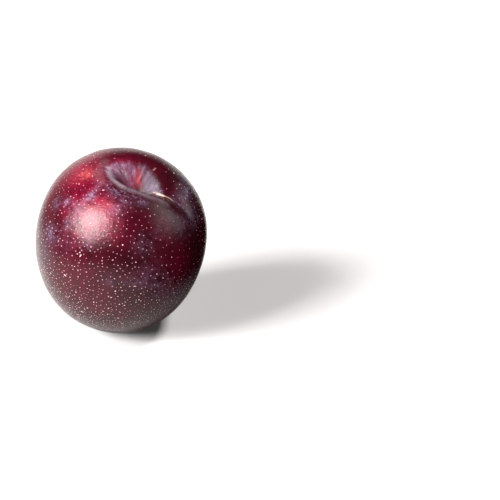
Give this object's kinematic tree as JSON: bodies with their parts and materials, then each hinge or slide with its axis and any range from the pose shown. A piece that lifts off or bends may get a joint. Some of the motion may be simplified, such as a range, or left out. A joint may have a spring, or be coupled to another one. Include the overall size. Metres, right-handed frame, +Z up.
{
  "type": "plum",
  "caption": "Whole ripe dark plum with no stem, resting on its underside with the stem cavity tipped forward.",
  "frame": {"origin": "on the surface that the fruit rests on, under the middle of its box", "axes": "+Z up, -Y towards the viewer in front, +X to the viewer's right; the stem end tips forward and right"},
  "size_m": [0.0614, 0.065, 0.0665],
  "materials": {
    "plum_skin": "satin, waxy skin with a pale bloom"
  },
  "bodies": {
    "root": {"plum": "plum_skin"}
  },
  "joints": []
}
